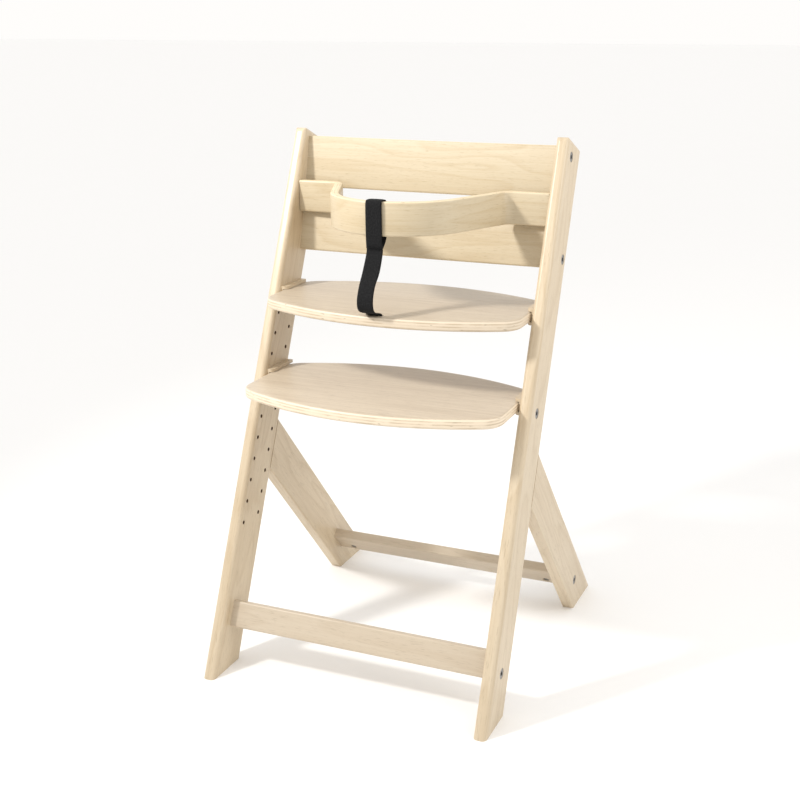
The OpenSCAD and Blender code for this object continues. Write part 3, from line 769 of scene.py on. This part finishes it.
class HIGHCHAIR_OT_strap(bpy.types.Operator):
    """Build the webbing: the sewn loop round the safety bar and the run down to the seat slot"""

    bl_idname = "highchair.strap"
    bl_label = "Crotch strap"

    def smooth_path(self, pts, step=STRAP_STEP):
        """Even points along a rounded line through pts, drawn in (y, z)."""
        fine = []
        for i in range(len(pts) - 1):
            p0, p1 = pts[max(i - 1, 0)], pts[i]
            p2, p3 = pts[i + 1], pts[min(i + 2, len(pts) - 1)]
            for k in range(CURVE_STEPS):
                t = k / CURVE_STEPS
                fine.append(0.5 * (2 * p1 + (p2 - p0) * t + (2 * p0 - 5 * p1 + 4 * p2 - p3) * t * t
                                   + (3 * p1 - p0 - 3 * p2 + p3) * t ** 3))
        fine.append(pts[-1])
        out, left = [fine[0]], step
        for a, b in zip(fine, fine[1:]):
            d = (b - a).length
            while d > left:
                a = a.lerp(b, left / d)
                out.append(a)
                d, left = (b - a).length, step
            left -= d
        return out

    def ribbon(self, name, path, width, thick, sway=0.0, free=1.0):
        """Webbing along a (y, z) path, with rounded selvedges. sway is a small twist over the free length.

        The free length is the hanging part, measured from the start of the path.
        """
        across, thinning, ripple = 10, 0.55, 0.00012
        verts, grain, edge, faces = [], [], [], []
        run = 0.0
        for i, p in enumerate(path):
            a, b = path[max(i - 1, 0)], path[min(i + 1, len(path) - 1)]
            t = (b - a).normalized()
            normal = Vector((-t.y, t.x))
            if i:
                run += (p - path[i - 1]).length
            lean = sway * math.sin(run * 60.0) * math.sin(math.pi * min(run / free, 1.0)) ** 2
            for side in (1, -1):
                for k in range(across + 1):
                    u = k / across * 2 - 1
                    if side < 0:
                        u = -u
                    x = u * width / 2
                    body = thick / 2 * (1 - thinning * abs(u) ** 8)
                    wave = ripple * math.sin(run * 95 + u * 2.3) + lean * u
                    q = p + normal * (side * body + wave)
                    verts.append(Vector((x, q.x, q.y)))
                    grain.append((run, x + 0.002 * side, 0.0))
                    edge.append(0.0)
        m = 2 * (across + 1)
        for i in range(len(path) - 1):
            j = i + 1
            for k in range(m):
                after = (k + 1) % m
                faces.append((i * m + k, i * m + after, j * m + after, j * m + k))
        faces.append(tuple(range(m)))
        faces.append(tuple(reversed(range((len(path) - 1) * m, len(path) * m))))
        obj = mesh_object(name, verts, faces)
        set_grain(obj, grain, edge)
        face_outward(obj)
        return obj

    def stitches(self, y, z, width):
        """Short sewn threads across the join, each an arched thread that leans left or right by its row."""
        rows, count, rings, sides = 3, 9, 5, 6
        row_pitch, pitch, half, rise, radius = 0.0023, width * 0.098, 0.0009, 0.00045, 0.00028
        verts, faces = [], []
        for row in range(rows):
            for k in range(count):
                x = (k - count // 2) * pitch
                level = z + row * row_pitch
                slant = (half if row % 2 else -half) * 0.6
                base = len(verts)
                for i in range(rings):
                    s = i / (rings - 1) * 2 - 1
                    c = Vector((x + s * half, y - rise * (1 - s * s), level + slant * s))
                    for j in range(sides):
                        a = j * 2 * math.pi / sides
                        verts.append(c + Vector((0, math.cos(a), math.sin(a))) * radius)
                for i in range(rings - 1):
                    here, there = base + i * sides, base + (i + 1) * sides
                    for j in range(sides):
                        after = (j + 1) % sides
                        faces.append((here + j, here + after, there + after, there + j))
                faces.append(tuple(base + j for j in reversed(range(sides))))
                faces.append(tuple(base + (rings - 1) * sides + j for j in range(sides)))
        obj = mesh_object("strap_stitches", verts, faces)
        set_grain(obj, [(v.z, v.x, 0) for v in verts], [0.0] * len(verts))
        return obj

    def execute(self, context):
        p = context.scene.highchair_strap
        lo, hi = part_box("safety_bar")
        loop_lo, loop_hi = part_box("strap_loop")
        tail_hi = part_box("strap_tail")[1]
        seat_lo, seat_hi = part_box("seat_plate")
        slot = seat_lo.y + context.scene.highchair_plate.slot_setback
        t = p.thick
        cloth = webbing("webbing", p.tint[:])
        fore, aft = loop_lo.y + t / 2, loop_hi.y - t / 2
        top, join = loop_hi.z - t / 2, loop_lo.z
        back_run = self.smooth_path([Vector(q) for q in (
            (fore, lo.z + 0.02), (fore, hi.z - 0.006), (fore + 0.0006, hi.z - 0.001),
            (fore + 0.003, top), (aft - 0.003, top), (aft - 0.0006, hi.z - 0.001),
            (aft, hi.z - 0.006), (aft, lo.z + 0.012), (aft - 0.0012, lo.z - 0.002),
            (aft - 0.006, lo.z - 0.010), (fore + 0.0042, join + 0.0035), (fore + 0.0030, join + 0.0008),
        )])
        front_run = self.smooth_path([Vector(q) for q in (
            (fore, lo.z + 0.02), (fore + 0.0001, lo.z - 0.001), (fore + 0.0006, lo.z - 0.010),
            (fore + 0.0011, join + 0.0045), (fore + 0.0013, join + 0.0005),
        )])
        round_bar = list(reversed(front_run)) + back_run[1:]
        loop = self.ribbon("strap_loop_visual", round_bar, p.width, t * RIBBON_SHARE)
        finish_piece(loop, cloth, "safety_bar", ["strap_loop"])
        sew = self.stitches(fore - t * 0.42, join + 0.0016, p.width)
        sew.data.materials.append(webbing("sewing_thread", [c * 1.6 for c in p.tint]))
        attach(sew, "safety_bar")

        z0, z1, under = seat_hi.z, tail_hi.z, seat_lo.z
        h = z1 - z0
        y = fore + 0.0021
        hang = [(y, z1 + 0.0062), (y, z1 - 0.002), (y - 0.005, z0 + 0.85 * h), (y - 0.014, z0 + 0.68 * h),
                (y - 0.026, z0 + 0.52 * h), (y - 0.033, z0 + 0.37 * h), (y - 0.0350, z0 + 0.24 * h),
                (y - 0.0325, z0 + 0.15 * h), (y - 0.0265, z0 + 0.095 * h), (slot - 0.014, z0 + 0.0056),
                (slot - 0.005, z0 + 0.0036), (slot - 0.0006, z0 - 0.0005), (slot, z0 - 0.006),
                (slot + 0.0004, under + 0.003), (slot + 0.0016, under + 0.0002),
                (slot + 0.0042, under - 0.0009), (slot + 0.009, under - 0.0011),
                (slot + 0.020, under - 0.0011), (slot + 0.034, under - 0.0011)]
        run = self.smooth_path([Vector(q) for q in hang])
        tail = self.ribbon("strap_tail_visual", run, p.width, t * RIBBON_SHARE, 0.0016, h)
        tail.data.materials.append(cloth)
        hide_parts("strap_tail")
        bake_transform(tail, "safety_bar", "frame", start=(0, y, z1 - 0.004), end=(0, slot, z0 + 0.006))
        if len(tail.data.vertices) < FEWEST:
            raise RuntimeError("the strap has no length")
        return {"FINISHED"}


class HIGHCHAIR_OT_stage(bpy.types.Operator):
    """Set the pale floor, the studio lights and the camera"""

    bl_idname = "highchair.stage"
    bl_label = "Studio"

    def area(self, light, to, watts):
        """Adds a round area light that faces the aim point."""
        name, offset, size, tint, spread = light
        at = to + Vector(offset)
        data = bpy.data.lights.new(name, "AREA")
        data.shape, data.size, data.energy, data.color = "DISK", size, watts, tint
        data.spread = math.radians(spread)
        obj = bpy.data.objects.new(name, data)
        obj.location = at
        obj.rotation_mode = "QUATERNION"
        obj.rotation_quaternion = (to - at).to_track_quat("-Z", "Y")
        bpy.context.scene.collection.objects.link(obj)

    def camera(self, context, s):
        """Adds the studio camera at its place, turned by its azimuth, elevation and roll."""
        data = bpy.data.cameras.new("camera")
        data.lens, data.sensor_width = s.lens, SENSOR_WIDTH
        data.shift_x, data.shift_y = CAMERA_SHIFT
        cam = bpy.data.objects.new("camera", data)
        az, el, roll = (math.radians(a) for a in (CAMERA_AZIMUTH, CAMERA_ELEVATION, CAMERA_ROLL))
        ahead = Vector((-math.sin(az) * math.cos(el), math.cos(az) * math.cos(el), -math.sin(el)))
        right = Vector((math.cos(az), math.sin(az), 0))
        upward = right.cross(ahead)
        r = right * math.cos(roll) + upward * math.sin(roll)
        u = upward * math.cos(roll) - right * math.sin(roll)
        rows = [(r[k], u[k], -ahead[k], CAMERA_AT[k]) for k in range(3)]
        cam.matrix_world = Matrix((*rows, (0, 0, 0, 1)))
        context.scene.collection.objects.link(cam)
        context.scene.camera = cam

    def execute(self, context):
        s = context.scene.highchair_stage
        lo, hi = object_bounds()
        centre = (lo + hi) / 2
        h = FLOOR_HALF
        corners = [(-h, -h, lo.z), (h, -h, lo.z), (h, h, lo.z), (-h, h, lo.z)]
        floor = mesh_object("studio_floor", corners, [(0, 1, 2, 3)], False)
        n = Nodes("studio_floor")
        spots = n.noise(n.scale(n.add("ShaderNodeTexCoord").outputs["Object"], (3, 3, 3)), 2.0)
        n.link(n.mix(spots, s.floor[:], [c * 0.995 for c in s.floor]), n.shader.inputs["Base Color"])
        n.shader.inputs["Roughness"].default_value = 0.9
        floor.data.materials.append(n.material)
        floor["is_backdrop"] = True
        world = bpy.data.worlds.new("studio")
        world.use_nodes = True
        back = world.node_tree.nodes["Background"]
        back.inputs[0].default_value = WARM_WHITE
        back.inputs[1].default_value = s.fill
        context.scene.world = world
        aim = Vector((centre.x, centre.y, hi.z - AIM_DROP))
        self.area(KEY_LIGHT, aim, s.key)
        self.area(SIDE_LIGHT, aim, s.side)
        self.camera(context, s)
        context.scene.view_settings.view_transform = "Standard"
        context.scene.view_settings.look = "None"
        return {"FINISHED"}


class HIGHCHAIR_PT_panel(bpy.types.Panel):
    """Buttons that build the high chair's pieces"""

    bl_idname = "HIGHCHAIR_PT_panel"
    bl_label = "High Chair"
    bl_space_type = "VIEW_3D"
    bl_region_type = "UI"
    bl_category = "High Chair"

    def draw(self, context):
        for op in OPERATORS:
            self.layout.operator(op.bl_idname)


OPERATORS = (
    HIGHCHAIR_OT_side_frames,
    HIGHCHAIR_OT_plates,
    HIGHCHAIR_OT_slats,
    HIGHCHAIR_OT_safety_bar,
    HIGHCHAIR_OT_metal,
    HIGHCHAIR_OT_strap,
    HIGHCHAIR_OT_stage,
)
GROUPS = {
    "highchair_wood": HIGHCHAIR_PG_wood,
    "highchair_plate": HIGHCHAIR_PG_plate,
    "highchair_slat": HIGHCHAIR_PG_slat,
    "highchair_bar": HIGHCHAIR_PG_bar,
    "highchair_strap": HIGHCHAIR_PG_strap,
    "highchair_metal": HIGHCHAIR_PG_metal,
    "highchair_stage": HIGHCHAIR_PG_stage,
}


def register():
    for name, group in GROUPS.items():
        bpy.utils.register_class(group)
        setattr(bpy.types.Scene, name, PointerProperty(type=group))
    for cls in (*OPERATORS, HIGHCHAIR_PT_panel):
        bpy.utils.register_class(cls)


def unregister():
    for cls in reversed((*OPERATORS, HIGHCHAIR_PT_panel)):
        bpy.utils.unregister_class(cls)
    for name, group in reversed(list(GROUPS.items())):
        delattr(bpy.types.Scene, name)
        bpy.utils.unregister_class(group)


def main():
    register()
    bpy.ops.highchair.side_frames()
    bpy.ops.highchair.plates()
    bpy.ops.highchair.slats()
    bpy.ops.highchair.safety_bar()
    bpy.ops.highchair.metal()
    bpy.ops.highchair.strap()
    bpy.ops.highchair.stage()


if __name__ == "__main__":
    main()
